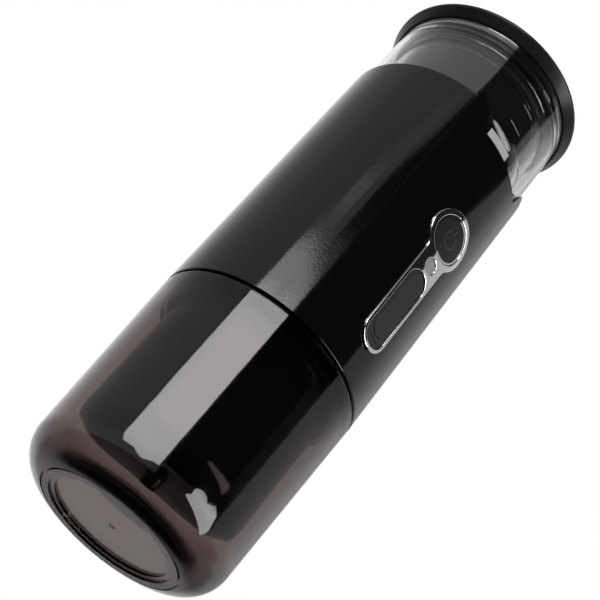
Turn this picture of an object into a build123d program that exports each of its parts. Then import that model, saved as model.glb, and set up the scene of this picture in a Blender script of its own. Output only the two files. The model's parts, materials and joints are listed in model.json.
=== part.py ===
from build123d import *
from math import acos, atan2, cos, degrees, hypot, pi, radians, sin, sqrt, tan
import os

# Portable espresso maker. Lengths in mm, angles in degrees. +Z runs from the cup's foot to the lid,
# the control panel faces -Y, and the origin is the centre of the foot.

os.makedirs("parts", exist_ok=True)

# Outer stack
body_r = 36.0
cup_h = 71.0
seam_gap = 0.6
tank_show_h = 27.5
lid_h = 9.5

# Clearances
slide_gap = 0.3
close_gap = 0.1
seat_gap = 0.2
screw_gap = 0.05
shaft_gap = 0.02

# Cup
cup_taper = 2.0
cup_wall = 2.2
cup_floor_z = 4.4
heel_r = 10.9
neck_inset = 3.8
neck_h = 5.4
neck_wall = 1.8
foot_margin = 10.0
foot_groove_w = 0.7
foot_groove_h = 0.9
foot_land_w = 2.3
foot_step_w = 1.6
foot_step_h = 0.8
dish_depth = 1.6
gate_r = 1.1
gate_depth = 0.4
gate_stub_r = 0.45
cup_seal_w = 1.4
cup_seal_rise = 2.0
seal_groove_depth = 0.9
seal_bulge = 0.18

# Sleeve and its notch
sleeve_wall = 1.5
sleeve_edge_r = 1.2
notch_drop = 9.5
notch_low_half = 14.6
notch_top_half = 18.0
notch_corner_r = 5.5
notch_root_r = 1.2

# Tank
tank_wall = 1.6
tank_gap = 2.4
vessel_wall = 1.6
vessel_drop = 3.5
vessel_corner_r = 8.0
skirt_drop = 12.5
mouth_rim_h = 2.6
spigot_r = 5.0
spigot_bore_r = 2.4
spigot_h = 13.0
lug_start = -22.4
lug_sweep = 19.0
lug_h = 3.6
lug_proud = 1.5
mark_start = -12.6
mark_sweep = 11.7
mark_h = 0.45
mark_low_h = 11.1
mark_high_h = 20.2
mark_proud = 0.3

# Lid
lid_base_step = 0.8
lid_flare = 3.2
lid_top_step = 1.1
lid_border = 3.3
lid_dish_depth = 0.8
plug_h = 7.5
plug_wall = 1.8
gasket_h = 2.0
vent_r = 4.0
vent_cap_t = 1.2
vent_hole_r = 0.5
vent_proud = 0.3

# Collar that the tank stands on
collar_floor = 3.0
collar_h = 7.0
collar_wall = 1.2
collar_step = 0.5
socket_rim = 2.4
hook_h = 6.8
hook_sweep = 4.6
hook_at = 33.0
hook_count = 3
duct_half = 3.2
duct_h = 4.5
duct_bore_r = 1.3

# Control panel, with heights from the sleeve's lower edge
button_rise = 61.4
button_r = 7.75
button_hole_gap = 0.25
button_rim = 0.55
button_proud = 0.35
button_edge_r = 0.15
button_depth = 0.9
button_stem_r = 1.5
button_travel = 0.8
trim_head_r = 10.0
trim_slot_half = 6.0
trim_rise = 11.7
trim_neck_r = 5.0
trim_lip = 0.5
trim_proud = 0.75
trim_edge_r = 0.25
rim_drop = 0.25
port_half = 4.85
port_rise = 13.0
port_l = 31.6
tether_h = 2.6
flap_gap = 0.2
flap_t = 1.5
flap_proud = 0.4
flap_pad_margin = 1.1
flap_pad_t = 0.35
flap_edge_r = 0.25
lens_rise = 48.7
lens_r = 2.6
frame_t = 1.5
frame_half = 12.5
frame_rise = 78.0
frame_corner_r = 4.0
well_wall = 1.0
board_inset = 7.5
board_t = 1.2
board_half = 10.5
board_rise = 15.0
board_l = 60.0
post_r = 1.5
post_inset = 2.4
chip_w = 8.0
chip_t = 1.2
chip_rises = (39.0, 67.0)
can_r = 2.0
can_h = 3.2
can_x = 6.5
can_rises = (47.0, 56.0)
lamp_w = 2.8
lamp_h = 1.8
lamp_t = 1.4
socket_rise = 28.0
socket_w = 3.3
socket_l = 9.0
socket_depth = 6.0
socket_inset = 4.1
socket_wall = 0.4
tongue_half = 3.2
tongue_t = 0.7
switch_size = 6.0
switch_h = 3.5
switch_tip_r = 1.6
switch_tip_h = 1.4

# Bottom plate and brew head
plate_floor = 3.0
plate_rise = 8.5
head_lug_w = 3.3
head_drop = 15.5
head_flange_w = 2.0
head_flange_t = 2.5
head_lug_t = 2.0
lug_width = 34.0
lug_count = 3
head_lug_drop = 9.5
head_seal_w = 6.5
head_seal_drop = 0.6
needle_plate_t = 1.2
needle_h = 4.5
needle_r = 1.1
needle_tip_r = 0.15
needle_ring_r = 5.0
needle_count = 3
shower_ring_r = 11.0
shower_hole_r = 0.6
shower_count = 12
water_bore_r = 1.2
elbow_r = 3.4
elbow_bore_r = 1.1

# Brew chamber
chamber_gap = 2.6
chamber_wall = 2.4
chamber_foot_z = 16.5
chamber_corner_r = 7.0
ledge_t = 2.0
ledge_w = 3.0
basket_margin = 3.3
basket_taper = 3.5
basket_wall = 1.2
basket_flange_t = 1.5
basket_depth = 27.0
nozzle_r = 3.6
nozzle_bore_r = 2.0
nozzle_h = 4.5
screen_r = 12.0
screen_t = 0.8
screen_hole_r = 0.9

# Power and pump
cell_r = 9.2
cell_l = 65.0
cell_x = 10.0
cell_gap = 1.0
web_y = 5.0
web_t = 1.8
foot_ring_t = 3.9
cell_floor_t = 1.0
shelf_t = 3.0
shelf_inset = 12.0
roof_t = 4.8
tube_slot_x = 24.0
tube_slot_half = 4.0
cell_cap_h = 1.2
cell_cap_r = 3.2
contact_t = 0.4
contact_half = 3.0
motor_x = -12.0
motor_gap = 1.6
motor_flat = 1.3
motor_top_gap = 2.1
motor_boss_r = 3.0
motor_boss_h = 2.2
motor_shaft_r = 1.0
motor_shaft_l = 9.0
gear_module = 0.5
pinion_teeth = 15
gear_teeth = 45
gear_backlash = 0.14
gear_t = 5.0
gear_gap = 1.4
gear_hole_r = 1.9
gear_hole_ring_r = 6.9
gear_hole_count = 5
pinion_t = 7.0
pinion_gap = 0.4
axle_r = 1.5
frame_border = 0.8
frame_post_r = 1.9
frame_post_inset = 2.2
frame_reach = 15.0
pump_plate_t = 2.2
pump_rise = 15.5
pump_space = 18.0
cam_r = 4.5
cam_throw = 2.5
cam_t = 7.2
plunger_r = 2.2
plunger_head_r = 3.3
plunger_head_t = 1.5
pump_x = 19.0
pump_margin = 4.4
pump_w = 13.0
pump_h = 11.8
pump_wall = 2.5
tube_r = 3.2
tube_bore_r = 2.1
nipple_r = 2.0
nipple_l = 4.0
tube_inset = 5.0
tube_bend_r = 6.0
spring_turns = 5
spring_wire_r = 0.3
spring_r = 2.8

# Screws
screw_r = 1.2
screw_head_r = 2.2
screw_head_t = 1.4
screw_l = 6.0
plate_screw_turns = (55, 90, 125)
collar_screw_turns = (50, 90, 130)
collar_screw_inset = 6.5

# Heights and radii that follow from the above
sleeve_z = cup_h
cup_top = cup_h - seam_gap
neck_top = cup_top + neck_h
floor_low = sleeve_z + plate_rise
floor_top = floor_low + plate_floor
cell_seat = floor_top + foot_ring_t + contact_t
roof_low = cell_seat + cell_l + contact_t
collar_low = roof_low + roof_t
collar_deck = collar_low + collar_floor
collar_top = collar_deck + collar_h
skirt_low = collar_top
sleeve_top = skirt_low + skirt_drop
vessel_low = sleeve_top - vessel_drop
notch_z = sleeve_top - notch_drop
lid_z = sleeve_top + tank_show_h
total_h = lid_z + lid_h
bore_r = body_r - sleeve_wall
inner_r = bore_r - close_gap
neck_r = body_r - neck_inset
neck_socket_r = neck_r + slide_gap
foot_wall_r = body_r - cup_taper
foot_groove_r = foot_wall_r - foot_margin
foot_land_r = foot_groove_r - foot_land_w
dish_r = foot_land_r - foot_step_w
tank_r = bore_r - slide_gap
skirt_bore_r = tank_r - tank_wall
vessel_r = skirt_bore_r - tank_gap
vessel_bore_r = vessel_r - vessel_wall
lid_base_r = tank_r + lid_base_step
lid_rim_r = tank_r + lid_flare
lid_top_r = lid_rim_r - lid_top_step
lid_dish_r = lid_top_r - lid_border
chamber_r = foot_wall_r - cup_wall - chamber_gap
chamber_bore_r = chamber_r - chamber_wall
chamber_top = neck_top - seat_gap
head_r = chamber_bore_r - head_lug_w
head_lug_r = chamber_bore_r - 2 * slide_gap
head_flange_r = head_r + head_flange_w
head_low = floor_low - head_drop
head_lug_z = floor_low - head_lug_drop
needle_plate_r = head_r - head_seal_w
basket_top = head_low - head_seal_drop - seat_gap
basket_seat = basket_top - basket_flange_t
ledge_z = basket_seat - ledge_t
basket_r = chamber_bore_r - ledge_w - basket_margin
basket_low_r = basket_r - basket_taper
board_y = -(bore_r - board_inset)
socket_mouth_y = -(bore_r - socket_inset)
button_z = sleeve_z + button_rise
trim_low_z = sleeve_z + trim_rise
port_low_z = sleeve_z + port_rise
port_top_z = port_low_z + port_l
lens_z = sleeve_z + lens_rise
frame_high_z = sleeve_z + frame_rise
board_low_z = sleeve_z + board_rise
board_high_z = board_low_z + board_l
socket_z = sleeve_z + socket_rise
motor_front_y = board_y + board_t + can_h + motor_gap + frame_border
motor_back_y = web_y - frame_border
motor_r = (motor_back_y - motor_front_y) / 2
motor_y = (motor_back_y + motor_front_y) / 2
cell_y = web_y + web_t + cell_gap + cell_r
pump_low_z = floor_top + pump_rise
pump_high_z = pump_low_z + pump_space
motor_seat = pump_high_z + pump_plate_t
motor_top = collar_low - duct_h - motor_top_gap - motor_boss_h
pump_l = inner_r - pump_margin - pump_x
tube_x = pump_x + pump_l - tube_inset
gear_x = motor_x + gear_module * (pinion_teeth + gear_teeth) / 2
gear_low = pump_high_z - gear_gap - gear_t
plunger_z = gear_low - cam_t / 2
plunger_x = gear_x + cam_throw + cam_r + close_gap
elbow_z = floor_top + head_flange_t + elbow_r
tube_reach = hypot(tube_x, motor_y)
tube_turn = degrees(atan2(motor_y, tube_x))


def outline(*corners):
    """Closed outline through its corners, each (a, b) or (a, b, round), with the rounds as arcs."""
    spans = []
    for index, corner in enumerate(corners):
        here = Vector(corner[0], corner[1])
        size = corner[2] if len(corner) > 2 else 0
        if not size:
            spans.append((here, None, here))
            continue
        back = (Vector(*corners[index - 1][:2]) - here).normalized()
        ahead = (Vector(*corners[(index + 1) % len(corners)][:2]) - here).normalized()
        half = radians(back.get_angle(ahead)) / 2
        reach = size / tan(half)
        inward = (back + ahead).normalized()
        spans.append((here + back * reach, here + inward * (size / sin(half) - size), here + ahead * reach))
    edges = []
    for index, (start, middle, end) in enumerate(spans):
        if middle is not None:
            edges.append(ThreePointArc(start, middle, end))
        following = spans[(index + 1) % len(spans)][0]
        if (following - end).length > 1e-5:
            edges.append(Line(end, following))
    return make_face(edges)


def turned(*corners):
    """Revolve a closed outline about Z. Each corner is (radius, height) or (radius, height, round)."""
    return revolve(Plane.XZ * outline(*corners), Axis.Z)


def ring(outer, inner, low, high):
    """A plain tube about Z."""
    return turned((inner, low), (outer, low), (outer, high), (inner, high))


def disc(radius, low, high, x=0.0, y=0.0):
    """A plain upright cylinder."""
    height = high - low
    return Pos(x, y, low + height / 2) * Cylinder(radius, height)


def block(x0, x1, y0, y1, z0, z1):
    """A box between two corners."""
    centre = Pos((x0 + x1) / 2, (y0 + y1) / 2, (z0 + z1) / 2)
    return centre * Box(x1 - x0, y1 - y0, z1 - z0)


def rod_y(radius, x, z, y0, y1):
    """A cylinder that lies along Y."""
    return Pos(x, (y0 + y1) / 2, z) * Rot(90, 0, 0) * Cylinder(radius, abs(y1 - y0))


def rod_x(radius, y, z, x0, x1):
    """A cylinder that lies along X."""
    return Pos((x0 + x1) / 2, y, z) * Rot(0, 90, 0) * Cylinder(radius, abs(x1 - x0))


def sector(outer, inner, low, high, start, sweep):
    """Part of a tube. Angles count from the front, which is -Y, anticlockwise seen from above."""
    face = Plane.XZ * outline((inner, low), (outer, low), (outer, high), (inner, high))
    piece = revolve(face, Axis.Z, revolution_arc=sweep)
    return Rot(0, 0, start - 90) * piece


def curved(face, inner, outer):
    """A front plate that follows the round body: the face is an outline seen from the front."""
    prism = extrude(Plane.XZ * face, body_r + trim_proud + 5)
    return prism & ring(outer, inner, sleeve_z, sleeve_top)


def keyhole(grow=0.0):
    """Outline of the trim: a round head on a long slot, with a soft neck between them."""
    head = trim_head_r + grow
    half = trim_slot_half + grow
    neck = trim_neck_r - grow
    low = trim_low_z + trim_slot_half
    neck_z = button_z - sqrt((head + neck) ** 2 - (half + neck) ** 2)
    share = head / (head + neck)
    touch_x = (half + neck) * share
    touch_z = button_z - (button_z - neck_z) * share
    lean = atan2(touch_z - neck_z, touch_x - half - neck)
    middle = (lean + pi) / 2
    mid_x = half + neck + neck * cos(middle)
    mid_z = neck_z + neck * sin(middle)
    edges = [
        ThreePointArc((-half, low), (0, low - half), (half, low)),
        Line((half, low), (half, neck_z)),
        ThreePointArc((half, neck_z), (mid_x, mid_z), (touch_x, touch_z)),
        ThreePointArc((touch_x, touch_z), (0, button_z + head), (-touch_x, touch_z)),
        ThreePointArc((-touch_x, touch_z), (-mid_x, mid_z), (-half, neck_z)),
        Line((-half, neck_z), (-half, low)),
    ]
    return make_face(edges)


def stadium(half, low, high):
    """An upright slot outline."""
    return Pos(0, (low + high) / 2) * SlotOverall(high - low, 2 * half, rotation=90)


def round_hole(radius, z):
    """A round outline on the panel."""
    return Pos(0, z) * Circle(radius)


def gear_outline(teeth):
    """Involute teeth at 20 degrees, cut narrow by the backlash. The first tooth points along +X."""
    pitch = gear_module * teeth / 2
    base = pitch * cos(radians(20))
    tip = pitch + 0.95 * gear_module
    root = pitch - 1.25 * gear_module
    half = pi / (2 * teeth) - gear_backlash / (2 * pitch) + tan(radians(20)) - radians(20)
    flank = []
    for step in range(4):
        radius = max(base, root) + (tip - max(base, root)) * step / 3
        turn = acos(min(1.0, base / radius))
        flank.append((radius, half - (tan(turn) - turn)))
    if root < base:
        flank.insert(0, (root, flank[0][1]))
    points = []
    for tooth in range(teeth):
        middle = 2 * pi * tooth / teeth
        for radius, lean in flank:
            points.append((radius * cos(middle - lean), radius * sin(middle - lean)))
        for radius, lean in reversed(flank):
            points.append((radius * cos(middle + lean), radius * sin(middle + lean)))
    return make_face(Polyline(*points, close=True))


def around(count, piece, start=0.0):
    """Copies of a piece, evenly spaced about Z."""
    return [Rot(0, 0, start + 360 / count * turn) * piece for turn in range(count)]


def screw(x, y, seat, length=screw_l, up=True):
    """A pan-head screw that stands on its seat, or hangs under it."""
    way = 1 if up else -1
    top = seat + way * screw_head_t
    tail = seat - way * length
    head = disc(screw_head_r, min(seat, top), max(seat, top), x, y)
    return head + disc(screw_r, min(seat, tail), max(seat, tail), x, y)


def screw_ring(radius, angles):
    """Screw places on a circle, angles counted from +X."""
    return [(radius * cos(radians(a)), radius * sin(radians(a))) for a in angles]


def edges_on(piece, radius):
    """The edges of a piece that lie on a cylinder about Z."""
    picked = []
    for edge in piece.edges():
        spots = [edge @ (step / 8) for step in range(9)]
        if all(abs(hypot(spot.X, spot.Y) - radius) < 0.001 for spot in spots):
            picked.append(edge)
    return picked


# Cup
def make_cup():
    lean = cup_taper / cup_top
    inner_top = neck_r - neck_wall
    outer = turned(
        (0, 0), (foot_wall_r, 0, heel_r), (body_r, cup_top, 0.8), (neck_r, cup_top),
        (neck_r, neck_top, 0.5), (0, neck_top))
    inner = turned(
        (0, cup_floor_z), (foot_wall_r + lean * cup_floor_z - cup_wall, cup_floor_z, heel_r - cup_wall),
        (body_r - cup_wall - 0.3, cup_top - 4.5, 2.0), (inner_top, cup_top - 0.5, 1.0),
        (inner_top, neck_top + 1), (0, neck_top + 1))
    dish = disc(dish_r, -1, dish_depth)
    step = ring(foot_land_r, dish_r - 0.5, -1, foot_step_h)
    groove = ring(foot_groove_r + foot_groove_w, foot_groove_r, -1, foot_groove_h)
    seal_groove = ring(neck_r + 1, neck_r - seal_groove_depth, *cup_seal_span(close_gap))
    gate = disc(gate_r, 0, dish_depth + gate_depth) - disc(gate_stub_r, 0, dish_depth + gate_depth)
    return outer - inner - dish - step - groove - seal_groove - gate


def cup_seal_span(grow=0.0):
    """Height range of the seal round the cup's neck."""
    low = cup_top + cup_seal_rise
    return low - grow, low + cup_seal_w + grow


def make_cup_seal():
    low, high = cup_seal_span()
    root = neck_r - seal_groove_depth + shaft_gap
    lip = neck_r + seal_bulge
    return turned((root, low), (lip, low, 0.35), (lip, high, 0.35), (root, high))


# Housing
def notch_cutter():
    """The shallow notch over the panel: sloping sides that roll out into the sleeve's edge."""
    reach = body_r + 5
    top = sleeve_top + 4
    wide = notch_top_half + 2.2 * notch_corner_r
    face = outline(
        (-notch_low_half, notch_z, notch_root_r), (notch_low_half, notch_z, notch_root_r),
        (notch_top_half, sleeve_top, notch_corner_r), (wide, sleeve_top), (wide, top), (-wide, top),
        (-wide, sleeve_top), (-notch_top_half, sleeve_top, notch_corner_r))
    return extrude(Plane.XZ * face, reach)


def make_sleeve():
    shell = turned(
        (bore_r, sleeve_z), (body_r, sleeve_z, 0.5), (body_r, sleeve_top, sleeve_edge_r),
        (bore_r, sleeve_top))
    panel_hole = extrude(Plane.XZ * keyhole(-trim_lip), body_r + 5)
    return shell - notch_cutter() - panel_hole


def make_bottom_plate():
    low = sleeve_z + slide_gap + close_gap
    hole = head_r + close_gap
    plate = turned(
        (neck_socket_r, low), (inner_r, low), (inner_r, floor_top), (hole, floor_top),
        (hole, floor_low), (neck_socket_r, floor_low))
    return plate - screw_holes(bottom_screw_places(), floor_low, floor_top)


def screw_holes(places, low, high):
    """Clearance holes between two heights, as one cutter."""
    return Compound(children=[disc(screw_r + screw_gap, low - 1, high + 1, x, y) for x, y in places])


def bottom_screw_places():
    return screw_ring((head_flange_r + neck_socket_r) / 2, plate_screw_turns)


def top_screw_places():
    return screw_ring(inner_r - collar_screw_inset, collar_screw_turns)


def make_chassis():
    """Upright web with the cell floor at its foot and the flange that carries the collar."""
    body = disc(inner_r, floor_top, collar_low)
    back = block(-body_r, body_r, web_y, body_r, 0, total_h)
    envelope = body & back
    web = block(-inner_r, inner_r, web_y, web_y + web_t, floor_top, collar_low) & body
    foot = envelope & ring(inner_r, head_flange_r + 0.5, floor_top, floor_top + foot_ring_t)
    deck = envelope & disc(inner_r, floor_top + foot_ring_t - cell_floor_t, floor_top + foot_ring_t)
    roof = envelope & disc(inner_r, roof_low, collar_low)
    chassis = web + foot + deck + roof
    for low in (floor_top + shelf_inset, roof_low - shelf_inset):
        chassis += envelope & disc(inner_r, low, low + shelf_t)
    for side in (-1, 1):
        chassis -= disc(cell_r + close_gap, floor_top + foot_ring_t, roof_low, side * cell_x, cell_y)
        middle = side * tube_slot_x
        chassis -= block(middle - tube_slot_half, middle + tube_slot_half, 0, web_y + web_t + 1,
                         pump_low_z, roof_low - shelf_inset - tube_slot_half)
    chassis -= disc(head_flange_r + 0.5, floor_top - 1, floor_top + foot_ring_t - cell_floor_t)
    chassis -= screw_holes(bottom_screw_places(), floor_top, floor_top + foot_ring_t)
    return chassis - screw_holes(top_screw_places(), roof_low, collar_low)


def make_collar():
    """Deck under the tank: socket for the spigot, wall and hooks inside the skirt, duct to the nipple."""
    wall_out = skirt_bore_r - collar_step
    wall_in = wall_out - collar_wall
    socket_out = spigot_r + slide_gap + socket_rim
    collar = disc(inner_r, collar_low, collar_deck)
    collar += ring(inner_r, wall_in, collar_deck, collar_top)
    collar += ring(wall_out, wall_in, collar_top, notch_z + 1)
    collar += disc(socket_out, collar_deck, collar_top)
    for turn in range(hook_count):
        start = hook_at - hook_sweep / 2 + 360 / hook_count * turn
        collar += sector(wall_out, wall_in, notch_z, notch_z + 1 + hook_h, start, hook_sweep)
    collar -= disc(spigot_r + slide_gap, collar_deck, collar_top + 1)
    low = collar_low - duct_h
    middle = collar_low - duct_h / 2
    duct = block(0, tube_reach, -duct_half, duct_half, low, collar_low)
    duct += disc(duct_half, low, collar_low, tube_reach, 0)
    collar += Rot(0, 0, tube_turn) * duct
    collar += disc(nipple_r, low - nipple_l, low, tube_x, motor_y)
    collar -= Rot(0, 0, tube_turn) * rod_x(duct_bore_r, 0, middle, 0, tube_reach)
    collar -= disc(duct_bore_r, middle - duct_bore_r, collar_deck + 1)
    collar -= disc(duct_bore_r, low - nipple_l - 1, middle, tube_x, motor_y)
    return collar - screw_holes(top_screw_places(), collar_low, collar_deck)


# Water tank
def make_tank():
    """Clear tank: a round-bottomed vessel inside a skirt, joined at the mouth."""
    top = lid_z
    inner_corner = vessel_corner_r - vessel_wall
    body = turned(
        (skirt_bore_r, skirt_low), (tank_r, skirt_low, 0.4), (tank_r, top), (vessel_bore_r, top),
        (vessel_bore_r, vessel_low + vessel_wall, inner_corner), (0, vessel_low + vessel_wall),
        (0, vessel_low), (vessel_r, vessel_low, vessel_corner_r), (vessel_r, top - mouth_rim_h, 0.6),
        (skirt_bore_r, top - mouth_rim_h, 0.6))
    body += disc(spigot_r, vessel_low - spigot_h, vessel_low + 0.5)
    body -= disc(spigot_bore_r, vessel_low - spigot_h - 1, vessel_low + vessel_wall + 1)
    body -= ring(spigot_r + 1, spigot_r - seal_groove_depth, *spigot_groove())
    body += sector(tank_r + lug_proud, tank_r - 0.5, notch_z + slide_gap, notch_z + slide_gap + lug_h,
                   lug_start, lug_sweep)
    for height in (mark_low_h, mark_high_h):
        low = vessel_low + height
        body += sector(vessel_r + mark_proud, vessel_r - 0.5, low, low + mark_h, mark_start, mark_sweep)
    return body


def spigot_groove():
    low = vessel_low - spigot_h + 2.0
    return low, low + 1.8


def make_spigot_seal():
    low, high = spigot_groove()
    root = spigot_r - seal_groove_depth + shaft_gap
    lip = spigot_r + seal_bulge
    return turned((root, low + 0.1), (lip, low + 0.1, 0.4), (lip, high - 0.1, 0.4), (root, high - 0.1))


def make_inlet_screen():
    """Perforated disc over the tank's outlet."""
    low = vessel_low + vessel_wall
    screen = disc(spigot_bore_r + 2.0, low, low + 0.5)
    for count, radius in ((1, 0.0), (6, 1.5), (10, 2.9)):
        for hole in around(count, disc(0.4, low - 1, low + 2, radius, 0)):
            screen -= hole
    return screen


# Lid
def make_lid():
    """Flared cap with a shallow dish on top and a plug that fits the tank's mouth."""
    top = total_h
    plug_out = vessel_bore_r - slide_gap
    plug_low = lid_z - plug_h
    lid = turned(
        (0, lid_z + 1.6), (plug_out - plug_wall, lid_z + 1.6, 0.6), (plug_out - plug_wall, plug_low),
        (plug_out, plug_low, 0.5), (plug_out, lid_z + seat_gap), (lid_base_r - 0.6, lid_z + seat_gap, 0.3),
        (lid_base_r + 0.7, lid_z + 3.0, 4.0), (lid_rim_r, lid_z + 5.6, 1.5), (lid_rim_r, top - 1.3, 0.9),
        (lid_top_r, top, 0.7), (lid_dish_r + 0.5, top, 0.4), (lid_dish_r, top - lid_dish_depth, 0.4),
        (0, top - lid_dish_depth))
    lid -= ring(plug_out + 1, plug_out - seal_groove_depth, *gasket_span())
    lid -= disc(vent_r - vent_cap_t, lid_z - 1, top + 1)
    lid -= disc(vent_r + close_gap, top - lid_dish_depth - vent_cap_t, top + 1)
    return lid


def gasket_span():
    low = lid_z - plug_h + 2.0
    return low, low + gasket_h + 0.2


def make_lid_gasket():
    low, high = gasket_span()
    plug_out = vessel_bore_r - slide_gap
    root = plug_out - seal_groove_depth + shaft_gap
    outer = plug_out + seal_bulge
    middle = (low + high) / 2
    return turned(
        (root, low + 0.1), (plug_out, low + 0.1), (outer, low + 0.4, 0.2), (plug_out - 0.1, middle),
        (outer, high - 0.4, 0.2), (plug_out, high - 0.1), (root, high - 0.1))


def make_vent():
    """Small silicone vent in the middle of the lid."""
    top = total_h - lid_dish_depth
    seat = top - vent_cap_t
    high = top + vent_proud
    vent = turned((0, seat), (vent_r, seat), (vent_r, high, 0.4), (0, high))
    vent += disc(vent_r - vent_cap_t - close_gap, lid_z + 1.0, seat + 0.2)
    vent += turned(
        (0, lid_z + 0.2), (vent_r - 0.6, lid_z + 0.2, 0.4), (vent_r - 0.2, lid_z + 1.5), (0, lid_z + 1.5))
    return vent - disc(vent_hole_r, lid_z - 1, total_h + 1)


# Control panel
def make_trim():
    """Bright keyhole frame that wraps the body, with a rim that passes into the sleeve's opening."""
    front = body_r + trim_proud
    trim = curved(keyhole(), body_r + shaft_gap, front)
    trim += curved(keyhole(-trim_lip - close_gap), bore_r, body_r + seat_gap)
    trim = through_holes(trim)
    return fillet(edges_on(trim, front), trim_edge_r)


def through_holes(piece):
    """Cut the openings for the button, the lens and the port through a front piece."""
    for hole in (round_hole(button_r + button_hole_gap, button_z), round_hole(lens_r + close_gap, lens_z),
                 stadium(port_half, port_low_z, port_top_z)):
        piece -= extrude(Plane.XZ * hole, body_r + 5)
    return piece


def make_button():
    """Push button: a face that follows the body and a stem towards the switch."""
    front = body_r + button_proud
    face = curved(round_hole(button_r - button_rim, button_z), bore_r - button_depth, front)
    face = fillet(edges_on(face, front), button_edge_r)
    stem_start = button_depth / 2 - bore_r
    stem_end = board_y - switch_h - switch_tip_h - button_travel - close_gap
    return face + rod_y(button_stem_r, 0, button_z, stem_start, stem_end)


def make_button_rim():
    """Thin bright ring round the button's face."""
    face = round_hole(button_r, button_z) - round_hole(button_r - button_rim, button_z)
    return curved(face, bore_r - button_depth, body_r + trim_proud - rim_drop)


def make_lens():
    """Light pipe of the indicator."""
    face = curved(round_hole(lens_r, lens_z), bore_r - button_depth, body_r + flap_proud)
    return face + rod_y(lens_r - 0.8, 0, lens_z, button_depth / 2 - bore_r, board_y - lamp_t - seat_gap)


def make_lamp():
    front = board_y - lamp_t
    return block(-lamp_w / 2, lamp_w / 2, front, board_y, lens_z - lamp_h / 2, lens_z + lamp_h / 2)


def make_tether():
    """The silicone plug's fixed end, at the foot of the port."""
    whole = stadium(port_half - flap_gap, port_low_z + flap_gap, port_top_z - flap_gap)
    low_end = Pos(0, port_low_z + tether_h / 2) * Rectangle(2 * port_half, tether_h)
    return curved(whole & low_end, body_r + flap_proud - flap_t - sleeve_wall / 2, body_r + flap_proud)


def make_flap():
    """The part of the silicone plug that lifts: a curved flap with a raised pad for the finger."""
    front = body_r + flap_proud
    pad_front = front + flap_pad_t
    start = port_low_z + tether_h + flap_gap
    whole = stadium(port_half - flap_gap, port_low_z + flap_gap, port_top_z - flap_gap)
    keep = Pos(0, (start + port_top_z) / 2) * Rectangle(2 * port_half, port_top_z - start)
    flap = curved(whole & keep, front - flap_t, front)
    flap = fillet(edges_on(flap, front), flap_edge_r)
    pad = stadium(port_half - flap_pad_margin, start + flap_pad_margin, port_top_z - flap_pad_margin)
    pad = curved(pad, body_r, pad_front)
    return flap + fillet(edges_on(pad, pad_front), flap_edge_r)


def make_panel_frame():
    """Bracket behind the panel: plate, port well, guide for the lens and posts for the board."""
    low = floor_top + close_gap
    plate = RectangleRounded(2 * frame_half, frame_high_z - low, frame_corner_r)
    frame = curved(Pos(0, (low + frame_high_z) / 2) * plate, inner_r - frame_t, inner_r)
    well = stadium(port_half + well_wall, port_low_z - well_wall, port_top_z + well_wall)
    well_solid = extrude(Plane.XZ * well, bore_r) & disc(inner_r, low, total_h)
    frame += well_solid - block(-body_r, body_r, socket_mouth_y, body_r, 0, total_h)
    for z in (board_low_z + post_inset, board_high_z - post_inset):
        for side in (-1, 1):
            frame += rod_y(post_r, side * (board_half - post_inset), z, board_y, -(inner_r - 1.6 * frame_t))
    return through_holes(frame)


def make_board():
    board = block(-board_half, board_half, board_y, board_y + board_t, board_low_z, board_high_z)
    cut_x = socket_w / 2 + seat_gap
    cut_z = socket_l / 2 + seat_gap
    return board - block(-cut_x, cut_x, board_y - 1, board_y + 3, socket_z - cut_z, socket_z + cut_z)


def make_board_parts():
    """Two chips and four small cans on the back of the board."""
    back = board_y + board_t
    half = chip_w / 2
    parts = []
    for rise in chip_rises:
        low = sleeve_z + rise - half
        parts.append(block(-half, half, back, back + chip_t, low, low + chip_w))
    for rise in can_rises:
        for x in (-can_x, can_x):
            parts.append(rod_y(can_r, x, sleeve_z + rise, back, back + can_h))
    return Compound(children=parts)


def make_socket():
    """Charging socket that stands in a cut-out of the board."""
    end = socket_mouth_y + socket_depth
    long_half = socket_l / 2
    inner_half = long_half - socket_wall
    outer = stadium(socket_w / 2, socket_z - long_half, socket_z + long_half)
    inner = stadium(socket_w / 2 - socket_wall, socket_z - inner_half, socket_z + inner_half)
    shell = extrude(Plane.XZ.offset(-end) * outer, socket_depth)
    cavity = extrude(Plane.XZ.offset(1.0 - end) * inner, socket_depth)
    tongue = block(-tongue_t / 2, tongue_t / 2, socket_mouth_y + 2 * socket_wall, end - socket_wall,
                   socket_z - tongue_half, socket_z + tongue_half)
    return shell - cavity + tongue


def make_switch():
    half = switch_size / 2
    front = board_y - switch_h
    return block(-half, half, front, board_y, button_z - half, button_z + half)


def make_switch_tip():
    front = board_y - switch_h
    return rod_y(switch_tip_r, 0, button_z, front - switch_tip_h, front)


# Brewing parts
def make_head():
    """Brew head: barrel through the bottom plate, bayonet lugs, water bore and elbow nipple."""
    head = disc(head_r, head_low, floor_top)
    head += disc(head_flange_r, floor_top, floor_top + head_flange_t)
    for turn in range(lug_count):
        start = 360 / lug_count * turn - lug_width / 2
        head += sector(head_lug_r, head_r - 1, head_lug_z, head_lug_z + head_lug_t, start, lug_width)
    inside, outside, depth = head_seal_groove()
    head -= ring(outside, inside, head_low - 1, head_low + depth)
    head -= disc(needle_plate_r + close_gap, head_low - 1, head_low + needle_plate_t)
    head += disc(elbow_r, floor_top + head_flange_t, elbow_z + 0.7 * elbow_r)
    head += Rot(0, 0, tube_turn) * rod_x(nipple_r, 0, elbow_z, 0, elbow_r + nipple_l)
    head -= disc(water_bore_r, head_low - 1, elbow_z)
    head -= Rot(0, 0, tube_turn) * rod_x(elbow_bore_r, 0, elbow_z, 0, elbow_r + nipple_l + 1)
    return head


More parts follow.
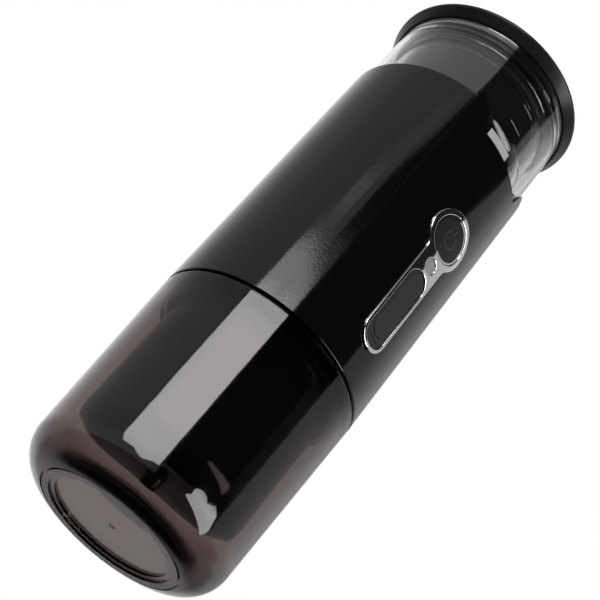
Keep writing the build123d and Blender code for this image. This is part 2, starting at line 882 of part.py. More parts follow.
def head_seal_groove():
    """Inner radius, outer radius and depth of the groove under the head."""
    return needle_plate_r + 1.5, head_r - 1.5, 1.6


def make_needle_plate():
    """Steel plate with hollow piercing needles."""
    plate = disc(needle_plate_r, head_low, head_low + needle_plate_t)
    needle = Pos(needle_ring_r, 0, head_low - needle_h / 2) * Cone(needle_tip_r, needle_r, needle_h)
    for item in around(needle_count, needle):
        plate += item
    hole = disc(shower_hole_r, head_low - 1, head_low + needle_plate_t + 1, shower_ring_r, 0)
    for item in around(shower_count, hole):
        plate -= item
    return plate


def make_head_seal():
    inside, outside, depth = head_seal_groove()
    inside += close_gap
    outside -= close_gap
    low = head_low - head_seal_drop
    return turned(
        (inside, head_low + depth), (inside, low, 0.5), (outside, low, 0.5), (outside, head_low + depth))


def make_chamber():
    """Brew chamber: deep cup with inward bayonet lugs, a ledge for the basket and an outlet nozzle."""
    chamber = turned(
        (0, chamber_foot_z), (chamber_r, chamber_foot_z, chamber_corner_r), (chamber_r, chamber_top, 0.6),
        (chamber_bore_r, chamber_top), (chamber_bore_r, basket_seat),
        (chamber_bore_r - ledge_w, basket_seat), (chamber_bore_r - ledge_w, ledge_z),
        (chamber_bore_r, ledge_z - ledge_w),
        (chamber_bore_r, chamber_foot_z + chamber_wall, chamber_corner_r - chamber_wall),
        (0, chamber_foot_z + chamber_wall))
    low = head_lug_z + head_lug_t + seat_gap
    for turn in range(lug_count):
        start = 360 / lug_count * turn - lug_width / 2
        chamber += sector(chamber_bore_r + 1, head_r + slide_gap, low, low + head_lug_t, start, lug_width)
    chamber += turned(
        (0, chamber_foot_z - nozzle_h), (nozzle_r - 0.8, chamber_foot_z - nozzle_h, 0.4),
        (nozzle_r, chamber_foot_z + 0.5), (0, chamber_foot_z + 0.5))
    chamber -= disc(nozzle_bore_r, chamber_foot_z - nozzle_h - 1, chamber_foot_z + chamber_wall + 1)
    return chamber


def make_basket():
    """Pod basket: tapered cup that hangs by its flange on the chamber's ledge."""
    low = basket_seat - basket_depth
    brim = chamber_bore_r - slide_gap
    basket = turned(
        (0, low), (basket_low_r, low, 2.5), (basket_r, basket_seat - 1.0), (basket_r, basket_seat),
        (brim, basket_seat), (brim, basket_top), (basket_r - basket_wall, basket_top, 0.5),
        (basket_low_r - basket_wall, low + basket_wall, 1.5), (0, low + basket_wall))
    for count, radius in ((1, 0.0), (6, 4.5), (12, 9.0)):
        for hole in around(count, disc(0.9, low - 1, low + 4, radius, 0)):
            basket -= hole
    return basket


def make_outlet_screen():
    """Perforated disc on the chamber's floor."""
    low = chamber_foot_z + chamber_wall
    screen = disc(screen_r, low, low + screen_t)
    for count, radius in ((1, 0.0), (6, 3.6), (12, 7.6)):
        for hole in around(count, disc(screen_hole_r, low - 1, low + 2, radius, 0)):
            screen -= hole
    return screen


# Power and pump
def make_cell(side):
    """Round cell with its raised end on top."""
    top = cell_seat + cell_l
    rim = top - cell_cap_h
    can = turned((0, cell_seat), (cell_r, cell_seat, 0.8), (cell_r, rim, 0.8), (0, rim))
    return Pos(side * cell_x, cell_y, 0) * (can + disc(cell_cap_r, rim, top))


def make_contacts():
    """One strip that joins the cells below, and one on top of each."""
    top = cell_seat + cell_l
    reach = cell_x + contact_half
    front = cell_y - contact_half
    back = cell_y + contact_half
    strips = [block(-reach, reach, front, back, cell_seat - contact_t, cell_seat)]
    for x in (-cell_x, cell_x):
        strips.append(block(x - contact_half, x + contact_half, front, back, top, top + contact_t))
    return Compound(children=strips)


def make_motor():
    """Can motor that stands on the pump frame, shaft down."""
    can = turned((0, motor_seat), (motor_r, motor_seat, 1.0), (motor_r, motor_top, 1.0), (0, motor_top))
    flat = block(-motor_r, motor_r, motor_r - motor_flat, motor_r + 1, motor_seat - 1, motor_top + 1)
    can = can - flat - Rot(0, 0, 180) * flat
    can += disc(motor_boss_r, motor_seat - motor_boss_h, motor_top + motor_boss_h)
    return Pos(motor_x, motor_y, 0) * can


def make_pinion():
    pinion = extrude(gear_outline(pinion_teeth), pinion_t)
    pinion -= disc(motor_shaft_r + shaft_gap, -1, pinion_t + 1)
    return Pos(motor_x, motor_y, pump_high_z - pinion_gap - pinion_t) * pinion


def make_motor_shaft():
    """End of the motor's shaft that carries the pinion."""
    return disc(motor_shaft_r, pump_high_z - motor_shaft_l, pump_high_z, motor_x, motor_y)


def make_drive_gear():
    """Gear with an eccentric cam under it, high side towards the plunger at rest."""
    wheel = extrude(gear_outline(gear_teeth), gear_t)
    hole = disc(gear_hole_r, -1, gear_t + 1, gear_hole_ring_r, 0)
    for item in around(gear_hole_count, hole, 180 / gear_hole_count):
        wheel -= item
    wheel = Pos(0, 0, gear_low) * wheel
    wheel += disc(cam_r, gear_low - cam_t, gear_low, cam_throw, 0)
    wheel -= disc(axle_r + 2 * shaft_gap, gear_low - cam_t - 1, gear_low + gear_t + 1)
    return Pos(gear_x, motor_y, 0) * wheel


def make_axle():
    return disc(axle_r, pump_low_z, pump_high_z + pump_plate_t, gear_x, motor_y)


def make_pump_frame():
    """Two plates on posts: motor above, axle between, pump on the lower plate."""
    bound = disc(inner_r - frame_border, 0, total_h)
    low = pump_low_z
    high = pump_high_z
    front = motor_y - motor_r - frame_border
    left = motor_x - motor_r - frame_border
    right = gear_x + frame_reach
    upper = block(left, right, front, web_y, high, high + pump_plate_t) & bound
    lower = block(left / 2 + motor_x / 2, pump_x + pump_l, front, web_y, low, low + pump_plate_t) & bound
    frame = upper + lower
    for x in (motor_x - frame_post_r - frame_border, right - frame_post_inset):
        for y in (front + frame_post_inset, web_y - frame_post_inset):
            frame += disc(frame_post_r, low + pump_plate_t, high, x, y)
    frame -= disc(axle_r, low - 1, high + pump_plate_t + 1, gear_x, motor_y)
    frame -= disc(motor_boss_r + shaft_gap, high - 1, high + pump_plate_t + 1, motor_x, motor_y)
    return frame - disc(tube_r + slide_gap, low - 1, low + pump_plate_t + 1, tube_x, motor_y)


def make_plunger():
    shank = plunger_x + plunger_head_t
    head = rod_x(plunger_head_r, motor_y, plunger_z, plunger_x, shank)
    return head + rod_x(plunger_r, motor_y, plunger_z, shank, pump_x + pump_l - pump_wall - 1)


def make_plunger_spring():
    """Return spring between the plunger's head and the pump."""
    start = plunger_x + plunger_head_t + spring_wire_r + shaft_gap
    length = pump_x - start - spring_wire_r - shaft_gap
    helix = Helix(length / spring_turns, length, spring_r)
    wire = sweep(Plane(origin=helix @ 0, z_dir=helix % 0) * Circle(spring_wire_r), path=helix)
    return Pos(start, motor_y, plunger_z) * Rot(0, 90, 0) * wire


def make_pump():
    """Pump block with its bore, and nipples above and below."""
    low = pump_low_z + pump_plate_t
    half = pump_w / 2
    body = block(pump_x, pump_x + pump_l, motor_y - half, motor_y + half, low, low + pump_h)
    body &= disc(inner_r - frame_border, 0, total_h)
    top = low + pump_h
    body += disc(nipple_r, top, top + nipple_l, tube_x, motor_y)
    body += disc(nipple_r, pump_low_z - nipple_l, low, tube_x, motor_y)
    body -= rod_x(plunger_r + screw_gap, motor_y, plunger_z, pump_x - 1, pump_x + pump_l - pump_wall)
    body -= disc(elbow_bore_r, pump_low_z - nipple_l - 1, top + nipple_l + 1, tube_x, motor_y)
    return body


def make_suction_tube():
    low = pump_low_z + pump_plate_t + pump_h
    high = collar_low - duct_h
    return disc(tube_r, low, high, tube_x, motor_y) - disc(tube_bore_r, low - 1, high + 1, tube_x, motor_y)


def make_pressure_tube():
    """Tube from the pump's outlet round one bend to the brew head's elbow."""
    top = (tube_reach, 0, pump_low_z - seat_gap)
    corner = (tube_reach, 0, elbow_z)
    end = (elbow_r + close_gap, 0, elbow_z)
    path = FilletPolyline(top, corner, end, radius=tube_bend_r)
    plane = Plane(origin=path @ 0, z_dir=path % 0)
    tube = sweep(plane * (Circle(tube_r) - Circle(tube_bore_r)), path=path)
    return Rot(0, 0, tube_turn) * tube


def make_bottom_screws():
    return Compound(children=[screw(x, y, floor_low, up=False) for x, y in bottom_screw_places()])


def make_top_screws():
    return Compound(children=[screw(x, y, collar_deck) for x, y in top_screw_places()])


nodes = {
    "cup": make_cup,
    "cup_seal": make_cup_seal,
    "housing_sleeve": make_sleeve,
    "bottom_plate": make_bottom_plate,
    "chassis": make_chassis,
    "tank_collar": make_collar,
    "water_tank": make_tank,
    "spigot_seal": make_spigot_seal,
    "inlet_screen": make_inlet_screen,
    "tank_lid": make_lid,
    "lid_gasket": make_lid_gasket,
    "lid_vent": make_vent,
    "panel_trim": make_trim,
    "power_button": make_button,
    "button_rim": make_button_rim,
    "indicator_lens": make_lens,
    "indicator_lamp": make_lamp,
    "plug_tether": make_tether,
    "port_plug": make_flap,
    "panel_frame": make_panel_frame,
    "circuit_board": make_board,
    "board_components": make_board_parts,
    "charging_socket": make_socket,
    "button_switch": make_switch,
    "switch_tip": make_switch_tip,
    "brew_head": make_head,
    "needle_plate": make_needle_plate,
    "head_seal": make_head_seal,
    "brew_chamber": make_chamber,
    "pod_basket": make_basket,
    "outlet_screen": make_outlet_screen,
    "battery_cell_left": lambda: make_cell(-1),
    "battery_cell_right": lambda: make_cell(1),
    "cell_contacts": make_contacts,
    "pump_motor": make_motor,
    "motor_shaft": make_motor_shaft,
    "motor_pinion": make_pinion,
    "drive_gear": make_drive_gear,
    "gear_axle": make_axle,
    "pump_frame": make_pump_frame,
    "pump_body": make_pump,
    "pump_plunger": make_plunger,
    "plunger_spring": make_plunger_spring,
    "suction_tube": make_suction_tube,
    "pressure_tube": make_pressure_tube,
    "bottom_screws": make_bottom_screws,
    "collar_screws": make_top_screws,
}

for name, make in nodes.items():
    export_step(make(), f"parts/{name}.step")
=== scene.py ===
import bpy
import json
from math import acos, cos, pi, radians, sin, tan
from mathutils import Matrix, Vector


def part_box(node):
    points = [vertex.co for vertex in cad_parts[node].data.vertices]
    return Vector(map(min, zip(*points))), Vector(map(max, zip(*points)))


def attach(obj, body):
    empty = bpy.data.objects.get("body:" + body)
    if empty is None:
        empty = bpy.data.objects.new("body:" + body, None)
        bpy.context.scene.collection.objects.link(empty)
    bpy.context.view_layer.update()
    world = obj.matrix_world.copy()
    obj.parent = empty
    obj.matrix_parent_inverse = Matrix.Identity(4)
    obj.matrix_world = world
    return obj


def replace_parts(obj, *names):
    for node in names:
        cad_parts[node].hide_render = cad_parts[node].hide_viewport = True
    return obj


# Portable espresso maker, in metres. +Z runs from the cup's foot to the lid, the panel faces -Y.

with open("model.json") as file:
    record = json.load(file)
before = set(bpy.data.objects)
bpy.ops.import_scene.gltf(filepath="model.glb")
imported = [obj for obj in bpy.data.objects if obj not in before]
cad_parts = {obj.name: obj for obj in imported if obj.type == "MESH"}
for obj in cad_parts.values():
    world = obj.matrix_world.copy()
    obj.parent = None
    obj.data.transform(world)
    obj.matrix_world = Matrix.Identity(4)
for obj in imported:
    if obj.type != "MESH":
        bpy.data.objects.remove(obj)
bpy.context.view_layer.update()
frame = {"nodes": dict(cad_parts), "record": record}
nodes = frame["nodes"]

MM = 0.001

# Camera: where it stands, where it looks, how far it is rolled, and its lens
camera_place = Vector((-0.22200, -0.28071, -0.11920))
camera_aim = Vector((0.52840, 0.67255, 0.51814))
camera_roll = 40.52
camera_lens = 79.26
camera_sensor = 36.0
camera_clip = 0.01

# Studio. Directions are in degrees: azimuth from +X towards +Y, then height above the horizon.
# Softness is half the width of an edge. Reflections and refractions see the room, diffuse rays the fill.
room_level = 0.45
fill_level = 0.6

# Bright backdrop behind the object: its middle, and how far to each side it is full and where it ends
backdrop_level = 1.0
backdrop_turn = 51.8
backdrop_left = (22.0, 74.0)
backdrop_right = (4.0, 27.0)

# Right of the backdrop a dimmer strip, then a brighter one, as angles from the backdrop's middle
side_gain = 0.5
side_rise = (-84.0, -58.0)
side_loss = 0.12
side_fall = (-42.0, -18.0)

# Shade below the horizon: on the camera's side, straight below, and a weaker one all round
under_level = 0.04
under_height = -4.0
under_softness = 3.0
under_turn = 75.0
under_turn_softness = 12.0
under_all = (-30.0, -44.0)
foot_level = 0.5
foot_fade = (-6.0, -18.0)

# Dark stretch in front of the panel
dark_level = 0.013
dark_from = -130.0
dark_to = -53.0
dark_edge_softness = 1.2
dark_low = -8.0
dark_low_softness = 8.0

# Light boxes and dark flags: how bright each is, and its corners as seen from a point on the object's axis
studio_distance = 3.0
aim_height = 0.1
panels = {
    "main_box": (6.8, ((-172.5, 29.5), (-176.5, 17.2), (-169.0, 16.3), (-148.0, 3.6), (-131.8, 16.8),
                       (-130.3, 29.5), (-151.0, 29.5))),
    "top_box": (3.4, ((-172.0, 32.6), (-172.5, 29.6), (-151.0, 29.6), (-130.3, 29.6), (-130.3, 31.0),
                      (-144.0, 32.2), (-154.0, 32.8))),
    "streak": (0.6, ((-166.0, 37.3), (-152.0, 37.3), (-138.5, 42.5), (-146.0, 43.0))),
    "left_flag": (dark_level, ((-145.5, 33.9), (-130.0, 33.4), (-130.0, 45.0), (-133.5, 42.7),
                               (-137.5, 40.6), (-144.5, 38.2))),
    "right_flag": (dark_level, ((-54.0, 38.0), (-40.0, 41.0), (-38.0, 60.0), (-54.0, 60.0))),
    "low_box": (6.0, ((-92.2, 17.3), (-97.1, 8.3), (-55.0, -23.0), (-56.5, 17.4), (-74.5, 17.35))),
    "haze_box": (1.0, ((-166.0, 37.2), (-166.0, 34.7), (-154.0, 34.7), (-152.0, 37.2))),
}

floor_size = 1.2
floor_colour = (0.88, 0.88, 0.88)

# Lid and the tank's lip, as (radius, height, corner radius) in millimetres above the cup's foot
lid_profile = (
    (2.8, 208.8, 0), (26.5, 208.8, 0.6), (26.5, 199.5, 0.3), (28.3, 199.5, 0.5), (28.3, 201.5, 0),
    (27.4, 201.5, 0), (27.4, 203.7, 0), (28.3, 203.7, 0), (28.3, 209.7, 0), (34.9, 209.7, 0.3),
    (37.2, 213.0, 0.7), (37.2, 213.9, 0.4), (33.8, 216.5, 0.6), (33.4, 216.5, 0.15),
    (33.0, 215.7, 0.3), (4.1, 215.7, 0.15), (4.1, 214.5, 0), (2.8, 214.5, 0))
lip_profile = ((28.7, 207.02, 0), (34.2, 207.02, 0), (34.2, 209.65, 0.2), (28.7, 209.65, 0))
turn_steps = 192
corner_steps = 5
crease_angle = 28.0

# Faces of the tank's lug and of its level marks, as (radius, low, high, start, sweep): in millimetres, with
# the heights above the sleeve's top edge, and in degrees from the front
lug_face = (35.73, -9.0, -5.8, -22.0, 18.2)
mark_faces = ((30.55, 7.6, 8.05, -12.6, 11.7), (30.55, 16.7, 17.15, -12.6, 11.7))
face_steps = 24

# Power symbol on the button
symbol_r = 2.9 * MM
symbol_line = 0.42 * MM
symbol_opening = 62.0
symbol_bar = 3.1 * MM
symbol_lift = 0.03 * MM
symbol_steps = 48


# Helpers
def direction(azimuth, height):
    """Unit vector for an azimuth and a height, both in degrees."""
    a, h = radians(azimuth), radians(height)
    return Vector((cos(a) * cos(h), sin(a) * cos(h), sin(h)))


def link(tree, source, target):
    tree.links.new(source, target)


def node(tree, kind, **values):
    """A new node. Keys with a capital set its inputs, the others its properties."""
    made = tree.nodes.new(kind)
    for key, value in values.items():
        if key[0].isupper():
            made.inputs[key.replace("_", " ")].default_value = value
        else:
            setattr(made, key, value)
    return made


def math_node(tree, operation, first, second=None):
    """A Math node whose operands are sockets or numbers."""
    made = node(tree, "ShaderNodeMath", operation=operation)
    for slot, value in enumerate((first, second)):
        if value is None:
            continue
        if isinstance(value, (int, float)):
            made.inputs[slot].default_value = value
        else:
            link(tree, value, made.inputs[slot])
    return made.outputs[0]


def spread(tree, value, low, high):
    """Map a 0 to 1 texture value to a range."""
    made = node(tree, "ShaderNodeMapRange", To_Min=low, To_Max=high)
    link(tree, value, made.inputs["Value"])
    return made.outputs["Result"]


def add_mesh(name, points, faces, material, smooth=False):
    """A new object with one material, in the scene."""
    mesh = bpy.data.meshes.new(name)
    mesh.from_pydata(points, [], faces)
    if smooth:
        mesh.polygons.foreach_set("use_smooth", [True] * len(faces))
    mesh.materials.append(material)
    made = bpy.data.objects.new(name, mesh)
    bpy.context.scene.collection.objects.link(made)
    return made


def bare_material(name):
    """A material with an empty node tree, and that tree."""
    made = bpy.data.materials.new(name)
    made.use_nodes = True
    made.node_tree.nodes.clear()
    return made, made.node_tree


# Materials
def start_material(name, colour, roughness, **sockets):
    """A material with its Principled node, whose constant sockets are set directly."""
    made = bpy.data.materials.new(name)
    made.use_nodes = True
    tree = made.node_tree
    shader = tree.nodes["Principled BSDF"]
    shader.inputs["Base Color"].default_value = (*colour, 1.0)
    shader.inputs["Roughness"].default_value = roughness
    for key, value in sockets.items():
        shader.inputs[key.replace("_", " ")].default_value = value
    place = node(tree, "ShaderNodeTexCoord").outputs["Object"]
    return made, tree, shader, place


def noise(tree, place, size, detail=2.0, stretch=None):
    """Noise whose blobs are about the given size in metres, stretched along the axes if asked."""
    if stretch is not None:
        mapping = node(tree, "ShaderNodeMapping", Scale=stretch)
        link(tree, place, mapping.inputs["Vector"])
        place = mapping.outputs["Vector"]
    made = node(tree, "ShaderNodeTexNoise", Scale=1.0 / size, Detail=detail)
    link(tree, place, made.inputs["Vector"])
    return made.outputs["Fac"]


def cells(tree, place, size, smoothness=0.6):
    """Soft pebbles of about the given size."""
    made = node(tree, "ShaderNodeTexVoronoi", feature="SMOOTH_F1", Scale=1.0 / size, Smoothness=smoothness)
    link(tree, place, made.inputs["Vector"])
    return made.outputs["Distance"]


def bump(tree, shader, height, depth):
    made = node(tree, "ShaderNodeBump", Strength=1.0, Distance=depth)
    link(tree, height, made.inputs["Height"])
    link(tree, made.outputs["Normal"], shader.inputs["Normal"])


def tinted(tree, shader, value, dark, light):
    """Colour that runs between two tones with a texture value."""
    made = node(tree, "ShaderNodeMix", data_type="RGBA")
    made.inputs["A"].default_value = (*dark, 1.0)
    made.inputs["B"].default_value = (*light, 1.0)
    link(tree, value, made.inputs["Factor"])
    link(tree, made.outputs["Result"], shader.inputs["Base Color"])


def glossed(tree, shader, value, low, high):
    """Roughness that runs between two values with a texture value."""
    link(tree, spread(tree, value, low, high), shader.inputs["Roughness"])


def moulded(name, colour, roughness, grain=0.5 * MM, depth=0.004 * MM, lift=1.25, **sockets):
    """Moulded plastic or rubber: faint tone changes, a fine grain and uneven gloss."""
    made, tree, shader, place = start_material(name, colour, roughness, **sockets)
    tinted(tree, shader, noise(tree, place, 6 * MM), colour, tuple(lift * c for c in colour))
    glossed(tree, shader, noise(tree, place, 3 * MM, 3.0), roughness * 0.85, roughness * 1.15)
    bump(tree, shader, noise(tree, place, grain), depth)
    return made


def metal(name, colour, roughness, stretch=(1.0, 1.0, 12.0), grain=0.4 * MM, depth=0.001 * MM):
    """Metal with fine lines along one direction."""
    made, tree, shader, place = start_material(name, colour, roughness, Metallic=1.0)
    lines = noise(tree, place, grain, 3.0, stretch)
    tinted(tree, shader, lines, tuple(0.86 * c for c in colour), colour)
    glossed(tree, shader, lines, roughness * 0.7, roughness * 1.3)
    bump(tree, shader, lines, depth)
    return made


def clear(name, colour, roughness, index, depth=0.002 * MM, wave=9 * MM, soak=None, through=1.0, **sockets):
    """See-through moulding with faint flow waves. Soak is what each millimetre takes away of each colour."""
    made, tree, shader, place = start_material(
        name, colour, roughness, Transmission_Weight=through, IOR=index, **sockets)
    glossed(tree, shader, noise(tree, place, 14 * MM), roughness * 0.6, roughness * 1.4)
    bump(tree, shader, noise(tree, place, wave), depth)
    if soak is not None:
        most = max(soak)
        body = node(tree, "ShaderNodeVolumeAbsorption", Density=most / MM,
                    Color=(*(1.0 - part / most for part in soak), 1.0))
        link(tree, body.outputs[0], tree.nodes["Material Output"].inputs["Volume"])
    return made


def make_sleeve_material():
    """Gloss black with a fine pebbled grain, which frays the edges of reflections."""
    made, tree, shader, place = start_material("sleeve_pebbled_black", (0.0012, 0.0012, 0.0012), 0.08)
    tinted(tree, shader, noise(tree, place, 12 * MM), (0.001, 0.001, 0.001), (0.002, 0.002, 0.002))
    glossed(tree, shader, noise(tree, place, 2 * MM, 3.0), 0.05, 0.1)
    pebbles = cells(tree, place, 1.1 * MM)
    ripples = noise(tree, place, 0.7 * MM, 2.0, (1.0, 1.0, 1.6))
    bump(tree, shader, math_node(tree, "ADD", pebbles, ripples), 0.004 * MM)
    return made


def make_materials():
    """One material for each slot of the record."""
    return {
        "sleeve_black": make_sleeve_material(),
        "inner_black": moulded("inner_black_plastic", (0.012, 0.012, 0.012), 0.5),
        "inner_grey": moulded("inner_grey_plastic", (0.16, 0.16, 0.17), 0.5),
        "trim_chrome": metal("trim_chrome", (0.95, 0.95, 0.95), 0.06, depth=0.0004 * MM),
        "lens_clear": clear("lens_clear", (0.4, 0.4, 0.4), 0.12, 1.5, 0.06 * MM, 0.8 * MM, through=0.55),
        "lamp_white": moulded("lamp_white", (0.75, 0.75, 0.68), 0.4),
        "silicone_black": moulded("silicone_black", (0.007, 0.007, 0.007), 0.6, 0.35 * MM, 0.006 * MM,
                                  Specular_IOR_Level=0.35),
        "board_green": moulded("board_green", (0.008, 0.09, 0.03), 0.35),
        "chip_black": moulded("chip_black", (0.015, 0.015, 0.015), 0.55),
        "socket_steel": metal("socket_steel", (0.6, 0.6, 0.62), 0.25),
        "plate_steel": metal("plate_steel", (0.6, 0.6, 0.61), 0.22),
        "seal_rubber": moulded("seal_rubber", (0.03, 0.03, 0.032), 0.55),
        "cell_wrap": moulded("cell_wrap", (0.03, 0.1, 0.32), 0.3),
        "contact_nickel": metal("contact_nickel", (0.6, 0.57, 0.52), 0.3),
        "motor_steel": metal("motor_steel", (0.5, 0.5, 0.52), 0.35),
        "pump_brass": metal("pump_brass", (0.72, 0.5, 0.2), 0.3),
        "tube_silicone": moulded("tube_silicone", (0.6, 0.6, 0.57), 0.4),
        "screw_steel": metal("screw_steel", (0.3, 0.3, 0.31), 0.35),
        "cup_smoke": clear("cup_smoked_clear", (0.95, 0.94, 0.95), 0.02, 1.5, 0.0003 * MM,
                           soak=(0.35, 0.4, 0.41)),
        "chamber_black": moulded("chamber_gloss_black", (0.02, 0.02, 0.02), 0.05, 9.0 * MM, 0.002 * MM),
        "tank_clear": clear("tank_clear", (0.93, 0.94, 0.95), 0.02, 1.49),
        "lid_black": moulded("lid_matt_black", (0.006, 0.006, 0.0062), 0.3, 0.3 * MM, 0.004 * MM,
                             Specular_IOR_Level=0.35),
        "button_black": moulded("button_matt_black", (0.004, 0.004, 0.004), 0.45, 0.3 * MM, 0.003 * MM,
                                Specular_IOR_Level=0.25),
        "gear_white": moulded("gear_white", (0.7, 0.7, 0.66), 0.4),
    }


def dress(materials):
    """Give every node of the frame the material of its slot."""
    for entry in frame["record"]["subparts"]:
        made = nodes[entry["node"]]
        made.data.materials.clear()
        made.data.materials.append(materials[entry["material_slot"]])


# Lid
def rounded(corners):
    """A closed outline of (radius, height, corner radius), with its corners turned into arcs."""
    points = []
    for index, (r, z, radius) in enumerate(corners):
        here = Vector((r, z))
        back = Vector(corners[index - 1][:2]) - here
        ahead = Vector(corners[(index + 1) % len(corners)][:2]) - here
        if radius == 0:
            points.append(here)
            continue
        half = acos(max(-1.0, min(1.0, back.normalized().dot(ahead.normalized())))) / 2
        reach = radius / tan(half)
        start = here + back.normalized() * reach
        end = here + ahead.normalized() * reach
        centre = here + (back.normalized() + ahead.normalized()).normalized() * radius / sin(half)
        for step in range(corner_steps + 1):
            share = step / corner_steps
            points.append(centre + (start - centre).slerp(end - centre, share).normalized() * radius)
    return points


def make_turned(name, corners, body, material):
    """A piece turned round the object's axis, that rides on a body of the frame."""
    outline = rounded(corners)
    count = len(outline)
    vertices = []
    for step in range(turn_steps):
        angle = 2 * pi * step / turn_steps
        for r, z in outline:
            vertices.append((r * MM * cos(angle), r * MM * sin(angle), z * MM))
    faces = []
    for step in range(turn_steps):
        after = (step + 1) % turn_steps
        for index in range(count):
            following = (index + 1) % count
            faces.append((step * count + index, after * count + index, after * count + following,
                          step * count + following))
    made = add_mesh(name, vertices, faces, material, smooth=True)
    made.data.set_sharp_from_angle(angle=radians(crease_angle))
    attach(made, body)
    return made


# Faces on the tank
def make_face(name, place, body, material):
    """A thin curved face at (radius, low, high, start, sweep), that rides on a body of the frame."""
    r, low, high, start, sweep = place
    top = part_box("housing_sleeve")[1].z
    vertices = []
    for step in range(face_steps + 1):
        angle = radians(start - 90 + sweep * step / face_steps)
        for z in (low, high):
            vertices.append((r * MM * cos(angle), r * MM * sin(angle), top + z * MM))
    faces = [(2 * step, 2 * step + 2, 2 * step + 3, 2 * step + 1) for step in range(face_steps)]
    made = add_mesh(name, vertices, faces, material, smooth=True)
    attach(made, body)


# Power symbol
def make_symbol():
    """Open ring and bar, printed on the button's curved face."""
    low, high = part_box("power_button")
    middle_z = (low.z + high.z) / 2
    face_r = -low.y + symbol_lift
    vertices = []
    faces = []

    def strip(points, width):
        """A flat band along points (x, z), wrapped on the round face."""
        first = len(vertices)
        for index, (x, z) in enumerate(points):
            before = points[max(index - 1, 0)]
            after = points[min(index + 1, len(points) - 1)]
            run = Vector((after[0] - before[0], after[1] - before[1])).normalized()
            for side in (-1, 1):
                px = x - run.y * side * width / 2
                pz = z + run.x * side * width / 2
                turn = px / face_r
                vertices.append((face_r * sin(turn), -face_r * cos(turn), middle_z + pz))
        for index in range(len(points) - 1):
            a = first + 2 * index
            faces.append((a, a + 1, a + 3, a + 2))

    opening = radians(symbol_opening)
    arc = []
    for step in range(symbol_steps + 1):
        angle = pi / 2 + opening / 2 + (2 * pi - opening) * step / symbol_steps
        arc.append((symbol_r * cos(angle), symbol_r * sin(angle)))
    strip(arc, symbol_line)
    bar_low = symbol_r - symbol_bar / 2
    strip([(0, bar_low), (0, bar_low + symbol_bar / 2), (0, bar_low + symbol_bar)], symbol_line)
    made = add_mesh("power_symbol", vertices, faces, moulded("symbol_grey", (0.018, 0.018, 0.018), 0.35))
    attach(made, "button")


# Studio
def make_panel(name, corners, level):
    """A shining panel far away, with its corners as directions. The camera doesn't see it."""
    centre = Vector((0, 0, aim_height))
    points = [centre + direction(*corner) * studio_distance for corner in corners]
    glow, tree = bare_material(name)
    shine = node(tree, "ShaderNodeEmission", Strength=level)
    out = node(tree, "ShaderNodeOutputMaterial")
    link(tree, shine.outputs[0], out.inputs["Surface"])
    made = add_mesh(name, points, [tuple(range(len(points)))], glow)
    made.visible_camera = False
    made.visible_shadow = False


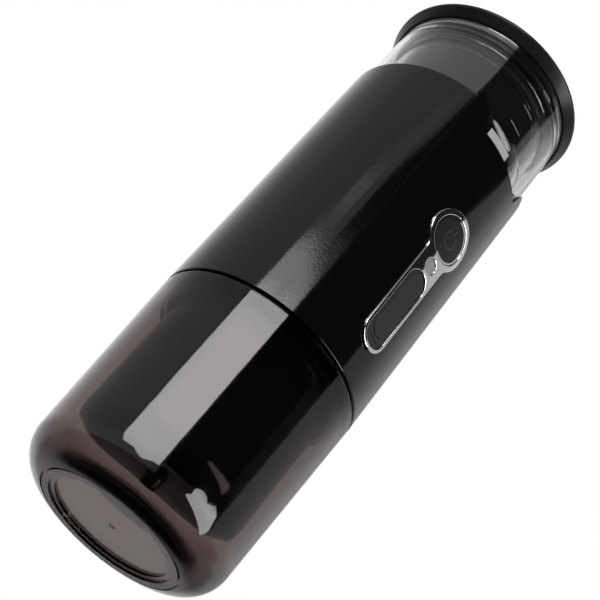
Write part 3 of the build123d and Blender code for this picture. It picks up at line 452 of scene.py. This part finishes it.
def make_world():
    """White to the camera. Reflections see a backdrop behind the object, a grey room and a dark stretch."""
    world = bpy.data.worlds.new("studio")
    bpy.context.scene.world = world
    world.use_nodes = True
    tree = world.node_tree
    tree.nodes.clear()
    look = node(tree, "ShaderNodeTexCoord").outputs["Generated"]
    parts = node(tree, "ShaderNodeSeparateXYZ")
    link(tree, look, parts.inputs[0])
    x, y, z = parts.outputs
    turn = math_node(tree, "ARCTAN2", y, x)

    def smooth_step(value, start, end):
        """0 before the start, 1 after the end."""
        made = node(tree, "ShaderNodeMapRange", interpolation_type="SMOOTHSTEP")
        made.inputs["From Min"].default_value = start
        made.inputs["From Max"].default_value = end
        link(tree, value, made.inputs["Value"])
        return made.outputs["Result"]

    def by_turn(value, start, end):
        return smooth_step(value, radians(start), radians(end))

    def by_height(start, end):
        return smooth_step(z, sin(radians(start)), sin(radians(end)))

    def times(first, second):
        return math_node(tree, "MULTIPLY", first, second)

    def without(share):
        return math_node(tree, "SUBTRACT", 1.0, share)

    # Dark stretch
    inside = by_turn(turn, dark_from - dark_edge_softness, dark_from + dark_edge_softness)
    outside = by_turn(turn, dark_to + dark_edge_softness, dark_to - dark_edge_softness)
    above = by_height(dark_low - dark_low_softness, dark_low + dark_low_softness)
    dark = times(times(inside, outside), above)

    # Backdrop and room, by the angle from the backdrop's middle
    turned = node(tree, "ShaderNodeVectorRotate", rotation_type="Z_AXIS", Angle=-radians(backdrop_turn))
    link(tree, look, turned.inputs["Vector"])
    ahead = node(tree, "ShaderNodeSeparateXYZ")
    link(tree, turned.outputs[0], ahead.inputs[0])
    aside = math_node(tree, "ARCTAN2", ahead.outputs[1], ahead.outputs[0])
    left = by_turn(aside, backdrop_left[1], backdrop_left[0])
    right = by_turn(aside, -backdrop_right[1], -backdrop_right[0])
    light = spread(tree, times(left, right), room_level, backdrop_level)
    fall = by_turn(aside, *side_fall)
    gain = times(by_turn(aside, *side_rise), without(fall))
    loss = times(fall, without(right))
    light = times(light, spread(tree, gain, 1.0, 1.0 + side_gain))
    light = times(light, spread(tree, loss, 1.0, 1.0 - side_loss))

    # Shade
    beside = math_node(tree, "ABSOLUTE", aside)
    near = by_turn(beside, under_turn - under_turn_softness, under_turn + under_turn_softness)
    below = by_height(under_height + under_softness, under_height - under_softness)
    under = math_node(tree, "MAXIMUM", times(near, below), by_height(*under_all))
    light = times(light, spread(tree, by_height(*foot_fade), 1.0, foot_level))
    light = times(light, spread(tree, under, 1.0, under_level))
    mirror_level = math_node(tree, "MAXIMUM", times(light, without(dark)), dark_level)

    # What each kind of ray sees
    path = node(tree, "ShaderNodeLightPath")
    sharp = math_node(tree, "MAXIMUM", path.outputs["Is Glossy Ray"], path.outputs["Is Transmission Ray"])
    level = node(tree, "ShaderNodeMix")
    level.inputs["A"].default_value = fill_level
    link(tree, sharp, level.inputs["Factor"])
    link(tree, mirror_level, level.inputs["B"])
    seen = node(tree, "ShaderNodeMix")
    seen.inputs["B"].default_value = 1.0
    link(tree, path.outputs["Is Camera Ray"], seen.inputs["Factor"])
    link(tree, level.outputs["Result"], seen.inputs["A"])
    back = node(tree, "ShaderNodeBackground", Color=(1.0, 1.0, 1.0, 1.0))
    link(tree, seen.outputs["Result"], back.inputs["Strength"])
    out = node(tree, "ShaderNodeOutputWorld")
    link(tree, back.outputs[0], out.inputs["Surface"])


def make_floor():
    """Pale floor under the cup. It shows its top to the camera, with the shadow, and lets all else pass."""
    pale, tree = bare_material("floor_pale")
    path = node(tree, "ShaderNodeLightPath")
    side = node(tree, "ShaderNodeNewGeometry")
    top = math_node(tree, "SUBTRACT", 1.0, side.outputs["Backfacing"])
    shown = math_node(tree, "MULTIPLY", path.outputs["Is Camera Ray"], top)
    paint = node(tree, "ShaderNodeBsdfDiffuse", Color=(*floor_colour, 1.0))
    pass_on = node(tree, "ShaderNodeBsdfTransparent")
    mix = node(tree, "ShaderNodeMixShader")
    link(tree, shown, mix.inputs[0])
    link(tree, pass_on.outputs[0], mix.inputs[1])
    link(tree, paint.outputs[0], mix.inputs[2])
    out = node(tree, "ShaderNodeOutputMaterial")
    link(tree, mix.outputs[0], out.inputs["Surface"])
    s = floor_size
    made = add_mesh("floor", [(-s, -s, 0), (s, -s, 0), (s, s, 0), (-s, s, 0)], [(0, 1, 2, 3)], pale)


def make_camera():
    data = bpy.data.cameras.new("camera")
    data.lens = camera_lens
    data.sensor_width = camera_sensor
    data.clip_start = camera_clip
    made = bpy.data.objects.new("camera", data)
    bpy.context.scene.collection.objects.link(made)
    turn = camera_aim.to_track_quat("-Z", "Y").to_matrix().to_4x4()
    roll = Matrix.Rotation(radians(camera_roll), 4, "Z")
    made.matrix_world = Matrix.Translation(camera_place) @ turn @ roll
    bpy.context.scene.camera = made


slots = make_materials()
dress(slots)
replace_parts(make_turned("lid", lid_profile, "lid", slots["lid_black"]), "tank_lid")
lip_clear = clear("lip_clear", (0.93, 0.94, 0.95), 0.02, 1.49, Coat_Weight=1.0, Coat_IOR=1.8)
make_turned("tank_lip", lip_profile, "tank", lip_clear)
make_face("lug_face", lug_face, "tank", moulded("lug_frosted", (0.24, 0.24, 0.245), 0.4))
mark_light = moulded("mark_light", (0.3, 0.3, 0.3), 0.5)
for index, place in enumerate(mark_faces):
    make_face(f"level_mark_{index + 1}", place, "tank", mark_light)
make_symbol()
for name, (level, corners) in panels.items():
    make_panel(name, corners, level)
make_world()
make_floor()
make_camera()
bpy.context.scene.view_settings.view_transform = "Standard"
